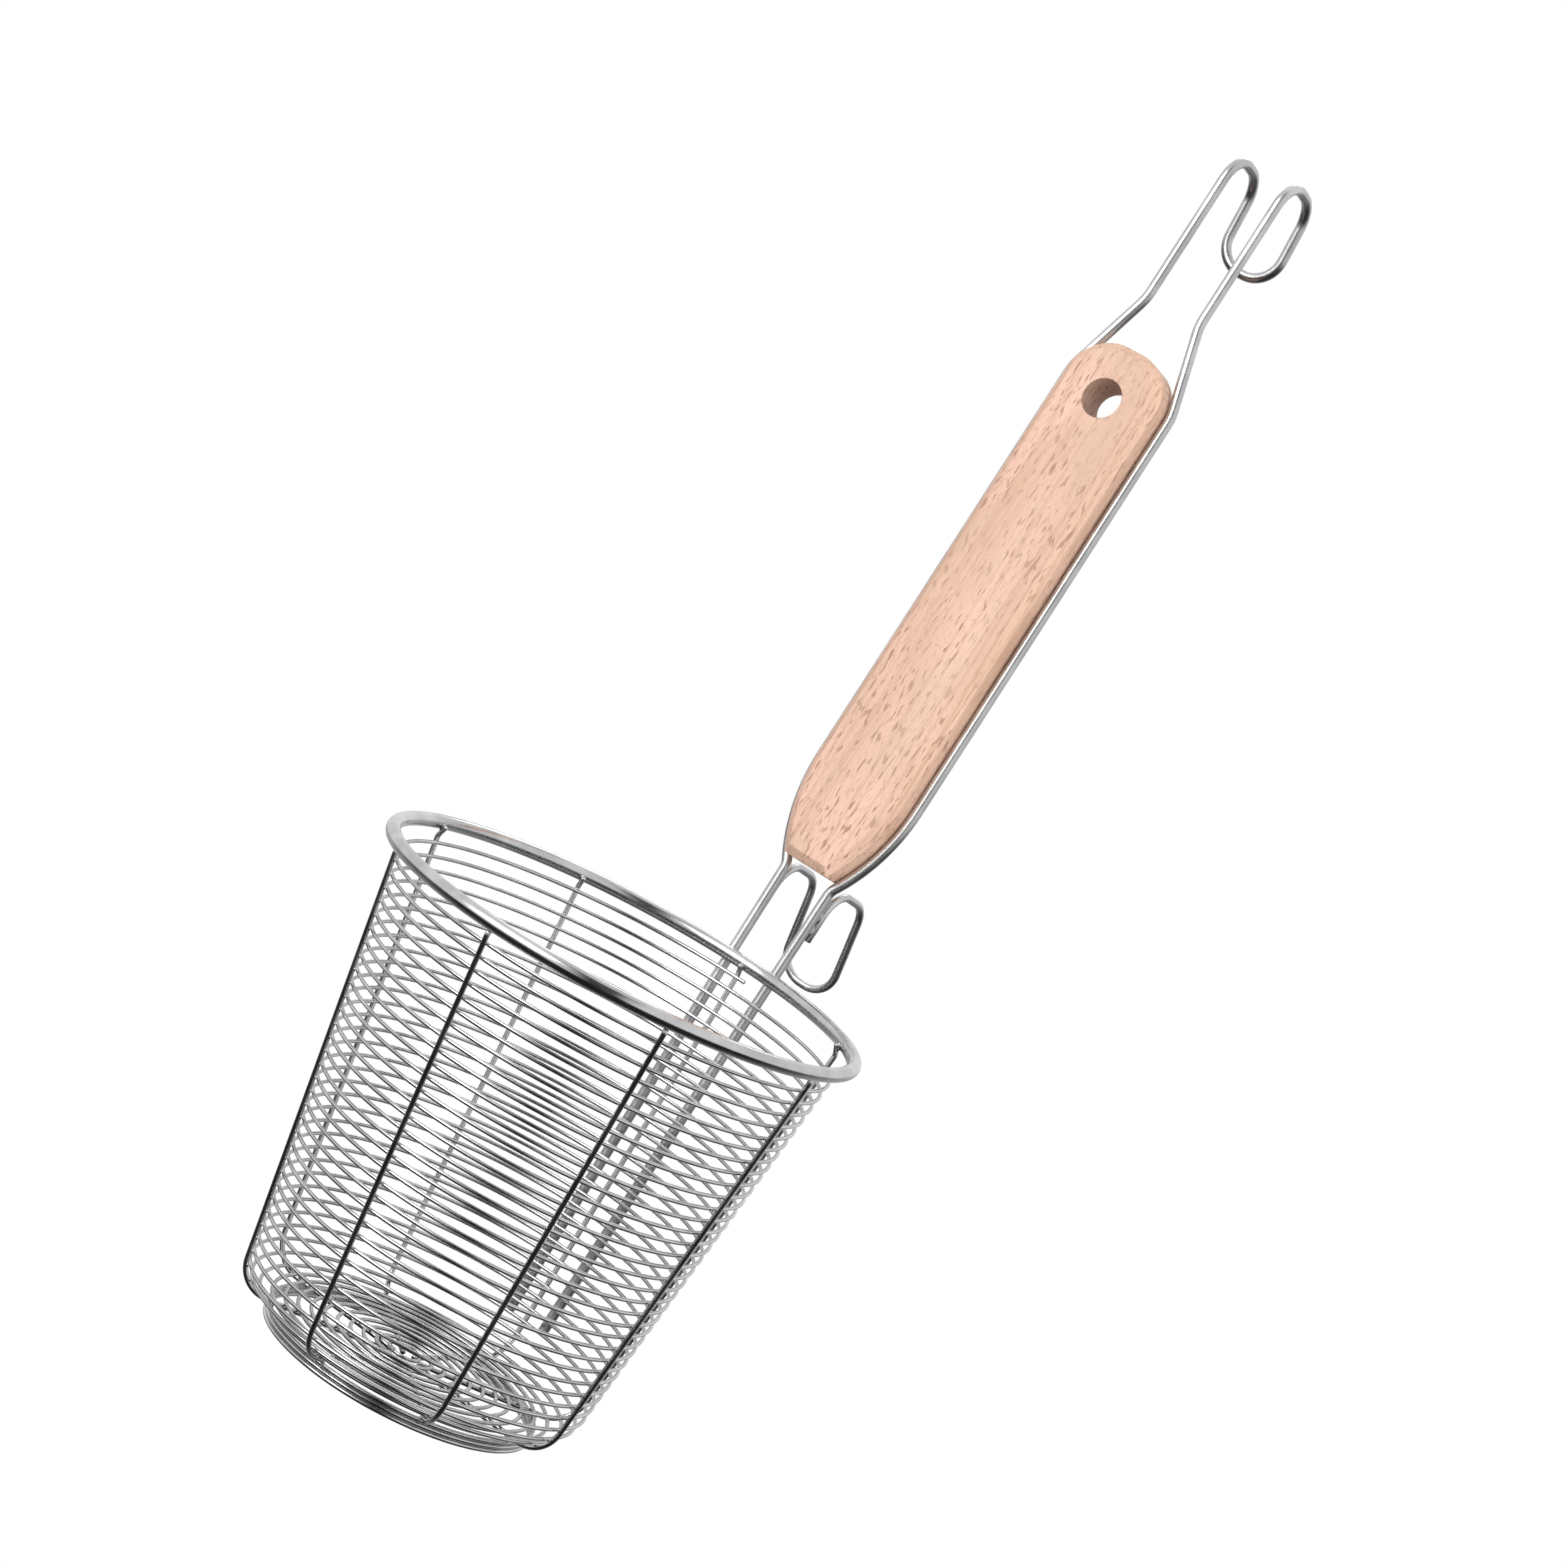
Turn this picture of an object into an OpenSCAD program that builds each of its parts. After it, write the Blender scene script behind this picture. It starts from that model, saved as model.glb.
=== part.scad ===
// Frying strainer: a deep wire basket on a foot of stacked rings, carried by one long bent wire
// that holds a wooden handle and ends in a hanging hook. A second bent wire behind the handle
// wire is the hook that rests on the edge of a pot.
// Millimetres, +Z up. The origin is on the basket's axis, on the surface that the foot stands on.
// The handle is at the back of the basket, on +Y, and leans outwards.

/* [Rim and wall] */
// Outer diameter of the rim ring
rim_d = 140; // [120:1:180]
// Thickness of the rim ring's wire
rim_wire = 4; // [3:0.1:5]
// Height of the middle of the rim ring above the table
rim_h = 131.5; // [110:1:170]
// Radius at which the sloping wall would meet the bottom
wall_foot_r = 49.9; // [44:0.1:55]
// Bend radius of the ribs between the wall and the bottom
knuckle_r = 10; // [8:0.5:14]

/* [Spiral wire] */
// Thickness of the spiral wire
coil_wire = 1.1; // [0.8:0.1:1.6]
// Distance from one turn of the spiral to the next
coil_pitch = 3.85; // [3.5:0.05:6]
// Distance of the first turn below the middle of the rim ring
coil_drop = 4; // [3.5:0.1:6]
// Radius at which the spiral ends in the middle of the bottom
coil_end_r = 3.5; // [3:0.5:12]
// How far the free end of the spiral passes the rib at the handle
coil_tail = 4; // [0:0.5:6]

/* [Ribs] */
// Thickness of a rib
rib_wire = 1.5; // [1.2:0.1:2]
// How far inside the middle of the rim ring's wire the ribs' wall would reach it
rib_inset = 1.6; // [0.5:0.1:2]
// Length of a rib beyond its weld on the inside of the rim ring
rib_tip = 0.8; // [0.4:0.1:1.2]
// Distance from the middle of the bottom to the inner end of a rib
rib_end_r = 4; // [3:0.5:12]

/* [Foot] */
// How far the foot rings lie inside the bends of the ribs
foot_inset = 1.9; // [0.5:0.1:8]
// Thickness of a foot ring's wire
foot_wire = 1.3; // [1:0.1:2]

/* [Handle wire] */
// Angle at which the handle leans outwards
handle_lean = 10.2; // [8:0.1:14]
// Thickness of the handle wire
handle_wire = 3; // [2.5:0.1:4]
// Distance between the two legs at the rim ring
leg_gap_rim = 15.4; // [13:0.1:18]
// Distance between the two legs at their lower ends
leg_gap_end = 12.4; // [10:0.1:15]
// Height of the lower ends of the legs above the table
leg_end_h = 16.5; // [15:0.5:40]
// Distance between the legs above the wooden handle
neck_gap = 18.4; // [16:0.1:22]
// Angle at which the legs close in above the wooden handle
neck_angle = 17; // [12:0.5:25]
// Top of the hanging hook, measured along the handle from the rim ring
hook_top = 264.5; // [250:0.5:290]
// Depth of the hanging hook behind the legs, at its lower end
hook_depth = 24; // [20:0.5:30]
// How much less deep the hanging hook is at its top
hook_flare = 4.5; // [0:0.5:8]
// Length of the hanging hook's return
hook_drop = 25; // [20:0.5:32]
// Bend radius of the hooks
hook_bend_r = 8.5; // [5:0.5:8.5]

/* [Rest hook] */
// Thickness of the rest hook's wire
rest_wire = 2.3; // [2:0.1:3]
// Distance between the two sides of the rest hook
rest_gap = 17.6; // [17:0.1:20]
// Bend radius of the rest hook
rest_bend_r = 8; // [5:0.5:8.5]
// Lower end of the welded legs, measured along the handle from the rim ring
rest_weld_from = 13.7; // [10:0.1:18]
// Top of the rest hook, measured along the handle from the rim ring
rest_top = 30.1; // [28:0.1:32]
// Depth of the rest hook's top behind the legs
rest_top_depth = 22.5; // [20:0.1:28]
// Depth of the rest hook's lower edge behind the legs
rest_low_depth = 33.7; // [28:0.5:38]
// Lower edge of the rest hook, measured along the handle from the rim ring
rest_low = 2.9; // [0:0.1:6]

/* [Wooden handle] */
// Width of the wooden handle
wood_w = 31; // [28:0.5:36]
// Thickness of the wooden handle
wood_t = 14; // [12:0.5:18]
// Length of the wooden handle
wood_len = 169; // [150:1:180]
// Lower end of the wooden handle, measured along the handle from the rim ring
wood_from = 31.5; // [31.5:0.5:36]
// Width of the lower end of the wooden handle
wood_end_w = 15; // [14:0.5:18]
// Length of the taper at the lower end
taper_len = 28.5; // [24:0.5:36]
// Corner radius of the wood's upper end
crown_r = 13; // [8:0.5:15]
// Chamfer along the edges of the wooden handle
wood_chamfer = 2.3; // [1:0.1:3]
// How far the middle of the wood lies in front of the handle wire
wood_forward = 1.5; // [0:0.5:3]
// Diameter of the hanging hole
hole_d = 11.5; // [8:0.5:14]
// Distance of the hanging hole from the top of the wood
hole_from_top = 16.3; // [14:0.1:22]

/* [Fits] */
// Clearance left at each weld, where two wires touch
weld_gap = 0.05; // [0.05:0.01:0.2]
// Clearance between the handle wire and the wood
wood_gap = 0.3; // [0.05:0.05:0.5]

/* [Hidden] */

rib_count = 8;
coil_steps = 24;    // straight steps in one turn of the spiral
coil_sides = 5;     // sides of the spiral wire, one of them against the ribs
wire_sides = 12;    // sides of the bent wires
tip_bend_r = 2.5;   // bend radius of a rib's tip
tip_room = 0.45;    // how far under its seat a rib's tip starts to bend
seat_spare = 0.15;  // room for the lower ends of the legs, which are cut square
bend_step = 12;     // largest turn between two points of a bend
bend_chord = 3;     // longest distance between two points of a bend
outline_steps = 16; // steps in each arc of the wood's outline

rim_r = rim_d / 2 - rim_wire / 2;
foot_rings = 3;
foot_step = foot_wire + weld_gap;
foot_h = foot_rings * foot_step;
rib_z = foot_h + rib_wire / 2;          // height of the ribs under the bottom

// The wall's slope comes from a rib's way from the foot to the under side of the rim ring.
// The section of the wall is drawn as [radius, height].
rim_point = [rim_r, rim_h];
foot_point = [wall_foot_r, rib_z];
rib_reach = rim_wire / 2 + rib_wire / 2 + weld_gap;
wall_top = rim_point - [rib_inset, sqrt(pow(rib_reach, 2) - pow(rib_inset, 2))];
wall_angle = atan2(wall_top[0] - foot_point[0], wall_top[1] - foot_point[1]);

// Close under the rim ring a rib bends inwards, and its tip is welded to the ring's inner side.
tip_corner = [wall_radius(rim_h - rib_reach - tip_room), rim_h - rib_reach - tip_room];
tip_to_rim = rim_point - tip_corner;
tip_angle = atan2(tip_to_rim[0], tip_to_rim[1]) - asin(rib_reach / norm(tip_to_rim));
tip_len = sqrt(pow(norm(tip_to_rim), 2) - pow(rib_reach, 2)) + rib_tip;
rib_top = tip_corner + tip_len * [sin(tip_angle), cos(tip_angle)];

// The foot rings lie under the straight inner stretches of the ribs.
foot_r = wall_foot_r - knuckle_r * tan((90 - wall_angle) / 2) - foot_inset;

// The spiral wire lies against the inner side of the ribs.
coil_in = rib_wire / 2 + coil_wire / 2 + weld_gap;
coil_bend_r = knuckle_r - coil_in;
coil_z = rib_z + coil_in;
coil_turn = 90 - wall_angle;
coil_corner = [wall_foot_r - coil_in * (1 - sin(wall_angle)) / cos(wall_angle), coil_z];
coil_setback = coil_bend_r * tan(coil_turn / 2);
coil_slope_top = (rim_h - coil_drop - coil_z) / cos(wall_angle);
coil_slope_len = coil_slope_top - coil_setback;
coil_bend_len = coil_bend_r * coil_turn * PI / 180;
coil_flat_len = coil_corner[0] - coil_setback - coil_end_r;
coil_len = coil_slope_len + coil_bend_len + coil_flat_len;
coil_start = 90 - coil_tail / rim_r * 180 / PI;

// The legs of the handle wire rest on the outside of the rim ring and, at their lower ends,
// on the outside of the spiral. They bend a little at the rim ring to meet both.
seat_rim = (rim_wire / 2 + handle_wire / 2 + weld_gap) / cos(handle_lean);
seat_rim_y = sqrt(pow(rim_r + seat_rim, 2) - pow(leg_gap_rim / 2, 2));
seat_end = (coil_wire / 2 + handle_wire / 2 + weld_gap - coil_in) / cos(wall_angle);
seat_end_r = wall_radius(leg_end_h) + seat_end + seat_spare;
seat_end_y = sqrt(pow(seat_end_r, 2) - pow(leg_gap_end / 2, 2));
leg_end = unplaced([seat_end_y - seat_rim_y, leg_end_h - rim_h]);

// Outline of the wood in the plane of the handle: x across, y along the handle
wood_half = wood_w / 2;
wood_top = wood_from + wood_len;
crown_centre = [wood_half - crown_r, wood_top - crown_r];
taper_in = (wood_w - wood_end_w) / 2;
taper_r = (pow(taper_len, 2) + pow(taper_in, 2)) / (2 * taper_in);
taper_angle = asin(taper_len / taper_r);
taper_centre = [wood_half - taper_r, wood_from + taper_len];

// The handle wire follows the wood at this distance from the middle of the wire.
wood_seat = handle_wire / 2 + wood_gap;
side_x = wood_half + wood_seat;
bend_r_rim = 60;                        // bend of the legs at the rim ring
bend_r_low = 5;                         // bend of the legs at the wood's lower end
bend_r_neck = 15;                       // bend of the legs above the wood
taper_wire_r = taper_r + wood_seat;
taper_corner = [side_x, taper_centre[1] - taper_wire_r * tan(taper_angle / 2)];
taper_start = taper_corner - (taper_wire_r * tan(taper_angle / 2) + 2)
    * [sin(taper_angle), cos(taper_angle)];
crown_bend_r = crown_r + wood_seat;
crown_corner = [side_x, crown_centre[1] + crown_bend_r * tan(neck_angle / 2)];
neck_y = crown_corner[1] + (side_x - neck_gap / 2) / tan(neck_angle);

rest_back = handle_wire / 2 + rest_wire / 2 + weld_gap;

// A step [backwards, up] in the frame of the basket, as a step in the plane of the handle
function unplaced(p) =
    [cos(handle_lean) * p[0] - sin(handle_lean) * p[1],
        sin(handle_lean) * p[0] + cos(handle_lean) * p[1]];

// Radius of the ribs at a height on the slope of the wall
function wall_radius(z) = wall_foot_r + (z - rib_z) * tan(wall_angle);

function unit(v) = v / norm(v);
function turned(p, q, r) = acos(min(1, max(-1, unit(q - p) * unit(r - q))));

// Place of the spiral in its section, at a distance along it from the top
function coil_point(s) =
    s < coil_slope_len
        ? coil_corner + (coil_slope_top - s) * [sin(wall_angle), cos(wall_angle)]
        : s < coil_slope_len + coil_bend_len
            ? coil_bend_point((s - coil_slope_len) / coil_bend_r * 180 / PI)
            : [coil_corner[0] - coil_setback - (s - coil_slope_len - coil_bend_len), coil_z];
function coil_bend_point(a) =
    [coil_corner[0] - coil_setback, coil_z + coil_bend_r]
    + coil_bend_r * [cos(a + wall_angle), -sin(a + wall_angle)];
function coil_place(i) =
    let (p = coil_point(i * coil_len / coil_count), a = coil_start + 360 * i * coil_len
        / coil_count / coil_pitch)
    [p[0] * cos(a), p[0] * sin(a), p[1]];
coil_count = round(coil_len / coil_pitch * coil_steps);

// Points of a bend at q, from the end of one straight stretch to the start of the next
function bend_points(p, q, next, bend_r) =
    let (
        angle = turned(p, q, next),
        before = unit(q - p),
        centre = q + unit(unit(next - q) - before) * bend_r / cos(angle / 2),
        out = unit(q - before * bend_r * tan(angle / 2) - centre),
        steps = max(2, ceil(angle / bend_step), ceil(angle * PI / 180 * bend_r / bend_chord)))
    [for (k = [0 : steps])
        centre + bend_r * (out * cos(angle * k / steps) + before * sin(angle * k / steps))];

// A route of corners, with each inner corner rounded to its bend radius
function rounded(corners, bends) =
    let (last = len(corners) - 1)
    [corners[0],
        for (i = [1 : last - 1]) each bend_points(corners[i - 1], corners[i], corners[i + 1], bends[i]),
        corners[last]];

// Direction of a route at one of its points
function heading(route, i) = unit(route[min(i + 1, len(route) - 1)] - route[max(i - 1, 0)]);

// The part of a vector that is square to a direction
function squared(v, dir) = unit(v - (v * dir) * dir);

// A round wire along a route of points. The section's first corner starts on the side that
// first_side points to, and is carried along the route without twist.
module wire(route, r, sides, first_side) {
    last = len(route) - 1;
    side = [for (i = 0, v = squared(first_side, heading(route, 0)); i <= last;
        i = i + 1, v = i > last ? v : squared(v, heading(route, i))) v];
    corners = [for (i = [0 : last], k = [0 : sides - 1])
        let (up = cross(heading(route, i), side[i]), a = 360 * k / sides)
        route[i] + r * (cos(a) * side[i] + sin(a) * up)];
    walls = [for (i = [0 : last - 1], k = [0 : sides - 1])
        let (a = i * sides + k, b = i * sides + (k + 1) % sides)
        each [[a, a + sides, b], [b, a + sides, b + sides]]];
    caps = [
        [for (k = [0 : sides - 1]) k],
        [for (k = [sides - 1 : -1 : 0]) last * sides + k]];
    polyhedron(corners, concat(walls, caps));
}

// A wire that is its own mirror image: half a route is given, which ends short of the middle
module mirrored_wire(half, bends, r) {
    far_half = [for (i = [len(half) - 1 : -1 : 0]) [-half[i][0], half[i][1], half[i][2]]];
    far_bends = [for (i = [len(half) - 1 : -1 : 0]) bends[i]];
    wire(rounded(concat(half, far_half), concat(bends, far_bends)), r, wire_sides, [0, 1, 0]);
}

// A ring of round wire round the Z axis
module wire_ring(radius, size, z)
    translate([0, 0, z])
        rotate_extrude($fn = 96)
            translate([radius, 0]) circle(d = size, $fn = 24);

// Sets its children in the plane of the handle: x across, y backwards, z along the handle
module in_handle_plane()
    translate([0, seat_rim_y, rim_h]) rotate([-handle_lean, 0, 0]) children();

module rim_ring()
    color("silver") wire_ring(rim_r, rim_wire, rim_h);

module spiral_wire()
    color("silver")
        wire([for (i = [0 : coil_count]) coil_place(i)], coil_wire / 2, coil_sides, [0, -1, 0]);

module rib(i)
    color("gray")
        rotate([0, 0, 90 - (i - 1) * 360 / rib_count])
            wire(rounded(
                [[rib_top[0], 0, rib_top[1]], [tip_corner[0], 0, tip_corner[1]],
                    [foot_point[0], 0, rib_z], [rib_end_r, 0, rib_z]],
                [0, tip_bend_r, knuckle_r, 0]), rib_wire / 2, wire_sides, [0, 1, 0]);

module foot_ring(i)
    color("silver") wire_ring(foot_r, foot_wire, foot_wire / 2 + (i - 1) * foot_step);

// One leg of the handle wire, from its lower end to the hanging hook
leg = [
    [leg_gap_end / 2, leg_end[0], leg_end[1]],
    [leg_gap_rim / 2, 0, 0],
    [taper_start[0], 0, taper_start[1]],
    [taper_corner[0], 0, taper_corner[1]],
    [crown_corner[0], 0, crown_corner[1]],
    [neck_gap / 2, 0, neck_y],
    [neck_gap / 2, 0, hook_top],
    [neck_gap / 2, hook_depth - hook_flare, hook_top],
    [neck_gap / 2, hook_depth, hook_top - hook_drop]];
leg_bends = [0, bend_r_rim, bend_r_low, taper_wire_r, crown_bend_r, bend_r_neck,
    hook_bend_r, hook_bend_r, hook_bend_r];

module handle_wire()
    color("silver") in_handle_plane() mirrored_wire(leg, leg_bends, handle_wire / 2);

// One leg of the rest hook, from its weld on the handle wire to its lower edge
rest_leg = [
    [rest_gap / 2, rest_back, rest_weld_from],
    [rest_gap / 2, rest_back, rest_top],
    [rest_gap / 2, rest_top_depth, rest_top],
    [rest_gap / 2, rest_low_depth, rest_low]];
rest_bends = [0, rest_bend_r, rest_bend_r, rest_bend_r];

module rest_hook()
    color("silver") in_handle_plane() mirrored_wire(rest_leg, rest_bends, rest_wire / 2);

// Half of the wood's outline, drawn smaller by inset: the taper's arc, then the crown's corner
function half_outline(inset) = concat(
    [for (k = [0 : outline_steps])
        let (a = -taper_angle_in(inset) * (1 - k / outline_steps))
        taper_centre + (taper_r - inset) * [cos(a), sin(a)]],
    [for (k = [0 : outline_steps])
        let (a = 90 * k / outline_steps)
        crown_centre + (crown_r - inset) * [cos(a), sin(a)]]);
function taper_angle_in(inset) = asin((taper_len - inset) / (taper_r - inset));

module wood_outline(inset) {
    half = half_outline(inset);
    polygon(concat(half, [for (i = [len(half) - 1 : -1 : 0]) [-half[i][0], half[i][1]]]));
}

module wooden_handle()
    color("burlywood") in_handle_plane()
        translate([0, -wood_forward, 0]) rotate([90, 0, 0])
            difference() {
                hull() {
                    linear_extrude(wood_t, center = true) wood_outline(wood_chamfer);
                    linear_extrude(wood_t - 2 * wood_chamfer, center = true) wood_outline(0);
                }
                translate([0, wood_top - hole_from_top, 0])
                    cylinder(d = hole_d, h = wood_t + 2, center = true, $fn = 48);
            }

rim_ring();
spiral_wire();
rib(1);  // rib_1
rib(2);  // rib_2
rib(3);  // rib_3
rib(4);  // rib_4
rib(5);  // rib_5
rib(6);  // rib_6
rib(7);  // rib_7
rib(8);  // rib_8
foot_ring(1);  // foot_ring_1
foot_ring(2);  // foot_ring_2
foot_ring(3);  // foot_ring_3
handle_wire();
rest_hook();
wooden_handle();
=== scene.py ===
"""Frying strainer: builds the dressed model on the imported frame.

Every wire is built again as a smooth round tube where the frame has it. The wooden handle gets
its chamfers, the lips of its hanging hole and its grain, and spot welds join the wires. The
stage has a white floor, soft light and a camera. Lengths are in metres, +Z is up and the handle
is on +Y.
"""
import math
from collections import namedtuple

import bmesh
import bpy
from bpy.props import FloatProperty, FloatVectorProperty, PointerProperty
from mathutils import Matrix, Vector


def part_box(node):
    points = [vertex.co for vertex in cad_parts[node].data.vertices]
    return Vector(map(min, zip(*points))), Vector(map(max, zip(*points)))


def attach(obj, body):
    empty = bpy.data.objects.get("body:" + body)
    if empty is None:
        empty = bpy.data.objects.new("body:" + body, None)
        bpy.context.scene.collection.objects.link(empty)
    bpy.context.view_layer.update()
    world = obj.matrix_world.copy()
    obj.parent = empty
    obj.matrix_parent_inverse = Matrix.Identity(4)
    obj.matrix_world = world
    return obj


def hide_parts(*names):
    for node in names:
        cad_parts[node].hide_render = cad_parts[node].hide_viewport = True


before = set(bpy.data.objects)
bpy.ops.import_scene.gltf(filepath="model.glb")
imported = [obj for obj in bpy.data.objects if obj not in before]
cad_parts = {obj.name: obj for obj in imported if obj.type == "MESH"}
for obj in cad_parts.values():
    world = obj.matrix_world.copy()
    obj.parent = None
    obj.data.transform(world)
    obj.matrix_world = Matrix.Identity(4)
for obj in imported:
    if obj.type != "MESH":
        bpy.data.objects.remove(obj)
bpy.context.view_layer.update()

bl_info = {
    "name": "Frying Strainer",
    "version": (1, 0, 0),
    "blender": (4, 5, 0),
    "location": "View3D > Sidebar > Strainer",
    "description": "Builds a frying strainer with a spiral wire basket and a wooden handle",
    "category": "Add Mesh",
}

BODY = "root"
MM = 0.001
RIBS = sum(name.startswith("rib_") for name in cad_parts)
FOOT_RINGS = sum(name.startswith("foot_ring_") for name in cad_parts)

# Steps along a ring or a turn, and sides round a wire

RIM_STEPS = 192
RIM_SIDES = 24
FOOT_STEPS = 128
FOOT_SIDES = 12
COIL_STEPS = 96
COIL_SIDES = 8
RIB_SIDES = 12
HANDLE_SIDES = 20
HOLE_SIDES = 64
OUTLINE_STEPS = 24
CHAMFER_STEPS = 8
BEND_STEPS = 3
BEND_STEP_DEGREES = 6
BEND_STEP_LENGTH = 1.5 * MM

# Small shapes: the rounding of a cut wire's edge as a share of its radius, the chamfer's
# profile, which is nearly flat, and the lip of the hole halfway round, as shares of its size

CUT_EDGE = 0.35
CHAMFER_PROFILE = 0.264
LIP_GROWTH = 0.35
LIP_DEPTH = 0.3

# The spiral's unevenness: beats in one turn, and where each starts

SWAYS = ((0.37, 0), (1.13, 1))

# Weld beads: radius and stretch along the wire, then how flat and how uneven they are

RIM_BEAD = (0.8 * MM, 1.4)
FOOT_BEAD = (0.7 * MM, 1.3)
SEAT_BEAD = (1.1 * MM, 1.3)
LEG_BEAD = (0.7 * MM, 1.6)
REST_BEAD = (1.0 * MM, 2.0)
BEAD_FLATNESS = 0.85
BEAD_WOBBLE = 0.08
BEAD_BUMPS = (9000, 8000, 7000)
LEG_BEAD_UP = 3 * MM
REST_BEAD_UP = 3 * MM
REST_BEAD_DOWN = 9 * MM
REST_BEAD_IN = 0.2 * MM

# Patterns in the steel: die lines round the wire and in a metre of it, and the rest in a metre

DIE_LINES = (14, 18, 1)
RUBBED_PATCHES = 95
WELD_GRAIN = 1400

# Patterns in the wood, as repeats in a metre across, through and along the grain

STREAKS = (420, 900, 14)
BANDS = (95, 260, 9)
CLOUDS = (60, 50, 22)
SHADES = (38, 30, 15)
RINGS = (130, 300, 4)
PORES = (1150, 950, 240)
FINE_PORES = (2300, 1900, 420)
WAVES = 150
WAVE_DEPTH = 1 * MM

# Growth lines at the wood's right edge, with painted shade past them: where they start beside
# the hole, how far they drift outwards in a metre downwards, and the width that they fill

GROWTH_FROM = 10.66 * MM
GROWTH_DRIFT = 0.028
GROWTH_WIDTH = 8 * MM

# Stage: the direction of the front, the photograph's view, its frame and the tones

FRONT = math.radians(27.48)
CAMERA_ELEVATION = math.radians(7.49)
CAMERA_ROLL = math.radians(28.13)
CAMERA_DISTANCE = 1.13781
CAMERA_ACROSS = 0.07514
CAMERA_ABOVE = 0.10458
CAMERA_AIM = (0, 0, 0.06)
PHOTO_PX = 1568
FOCAL_PX = 4300
SENSOR = 36.0
FLOOR_RADIUS = 6.0
FLOOR_TONE = (0.45, 0.45, 0.45, 1)
SOFT_TONE = (0.82, 0.82, 0.84, 1)
WHITE = (1, 1, 1, 1)
ROOM_DARK = 0.02
ROOM_BRIGHT = 0.83
LIGHT_AIM = (0, 0.05, 0.2)

# Soft boxes: name, place, width, height, watts, and whether metal mirrors them

SOFT_BOXES = (
    ("key", (-0.45, -1.25, 0.95), 1.0, 1.0, 11.0, True),
    ("fill", (1.38, -0.45, 0.40), 1.4, 0.9, 11.5, False),
    ("back", (-0.5, 1.1, 1.1), 0.6, 0.3, 1.5, True))


def mm(name, default, description):
    """A length property, given in millimetres."""
    return FloatProperty(name=name, description=description, default=default * MM,
                         unit="LENGTH", precision=5)


def turned(name, default, description):
    """An angle property, given in degrees."""
    return FloatProperty(name=name, description=description, default=math.radians(default),
                         subtype="ANGLE")


def tint(name, default, description):
    """A colour property."""
    return FloatVectorProperty(name=name, description=description, default=default,
                               subtype="COLOR", size=3, min=0.0, max=1.0)


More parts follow.
